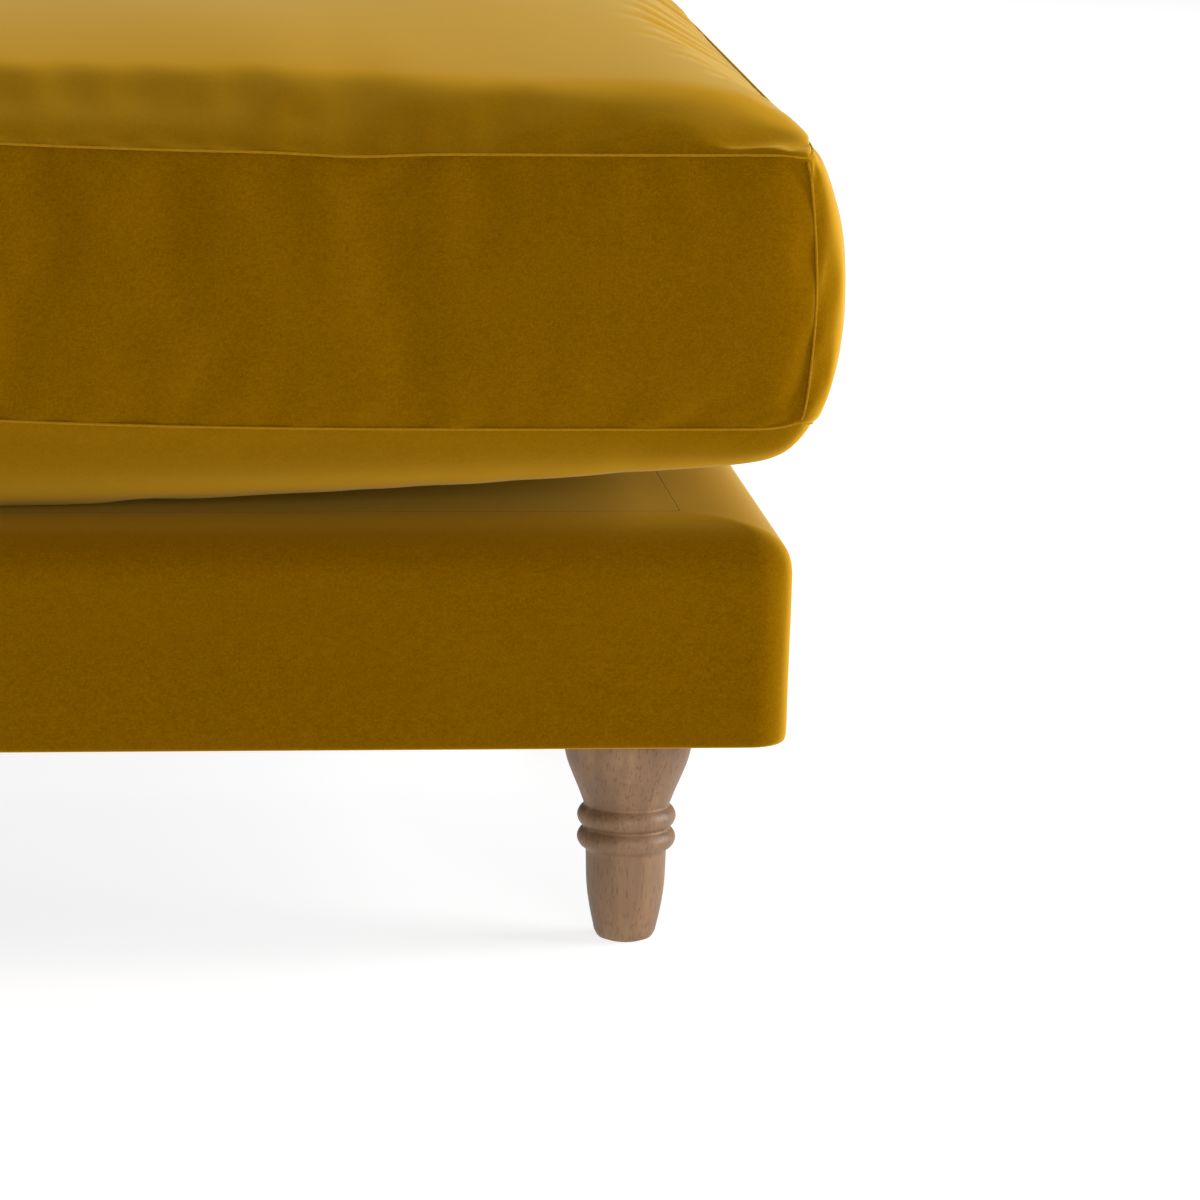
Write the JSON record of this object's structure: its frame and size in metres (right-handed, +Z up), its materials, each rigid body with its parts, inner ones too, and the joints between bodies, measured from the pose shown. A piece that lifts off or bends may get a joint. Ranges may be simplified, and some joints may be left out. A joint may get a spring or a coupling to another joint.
{
  "type": "storage ottoman",
  "caption": "Velvet box-cushion ottoman with a rear-hinged cushion lid over a shallow storage well, on an upholstered plinth with turned wooden legs.",
  "frame": {"origin": "on the floor under the middle of the ottoman", "axes": "+X to the right along the long side, +Y to the back where the hinges are, +Z up; the front faces -Y"},
  "size_m": [0.954, 0.6486, 0.462],
  "materials": {
    "velvet": "matte",
    "timber": "matte",
    "plywood": "matte",
    "oak": "satin",
    "lining": "matte",
    "steel": "satin",
    "zinc": "satin",
    "nylon": "matte",
    "foam": "matte",
    "hook_loop": "matte",
    "bronze": "satin"
  },
  "bodies": {
    "base": {"back_cover": "velvet", "back_ledge": "timber", "back_rail": "timber", "base_board": "plywood", "corner_block_back_left": "timber", "corner_block_back_right": "timber", "corner_block_front_left": "timber", "corner_block_front_right": "timber", "dust_cover": "lining", "front_cover": "velvet", "front_ledge": "timber", "front_rail": "timber", "glide_back_left": "nylon", "glide_back_right": "nylon", "glide_front_left": "nylon", "glide_front_right": "nylon", "hanger_bolt_back_left": "zinc", "hanger_bolt_back_right": "zinc", "hanger_bolt_front_left": "zinc", "hanger_bolt_front_right": "zinc", "left_cover": "velvet", "left_hinge_base_leaf": "steel", "left_hinge_pin": "steel", "left_ledge": "timber", "left_rail": "timber", "leg_back_left": "oak", "leg_back_right": "oak", "leg_front_left": "oak", "leg_front_right": "oak", "leg_plate_back_left": "zinc", "leg_plate_back_right": "zinc", "leg_plate_front_left": "zinc", "leg_plate_front_right": "zinc", "right_cover": "velvet", "right_hinge_base_leaf": "steel", "right_hinge_pin": "steel", "right_ledge": "timber", "right_rail": "timber", "well_lining": "lining"},
    "lid": {"cushion_border": "velvet", "cushion_bottom_panel": "velvet", "cushion_foam": "foam", "cushion_top_panel": "velvet", "hook_strip_back": "hook_loop", "hook_strip_front": "hook_loop", "left_hinge_lid_leaf": "steel", "lid_board": "plywood", "lid_lining": "lining", "loop_strip_back": "hook_loop", "loop_strip_front": "hook_loop", "right_hinge_lid_leaf": "steel", "zip_tape": "velvet"},
    "zip_slider": {"zip_slider": "bronze"}
  },
  "joints": [
    {"name": "lid_hinge", "type": "hinge", "parent": "base", "child": "lid", "pos_m": [0, 0.284, 0.2307], "axis": [-1, 0, 0], "range_deg": [0, 80]},
    {"name": "zip_slide", "type": "slide", "parent": "lid", "child": "zip_slider", "axis": [1, 0, 0], "range_m": [0, 0.56]}
  ]
}
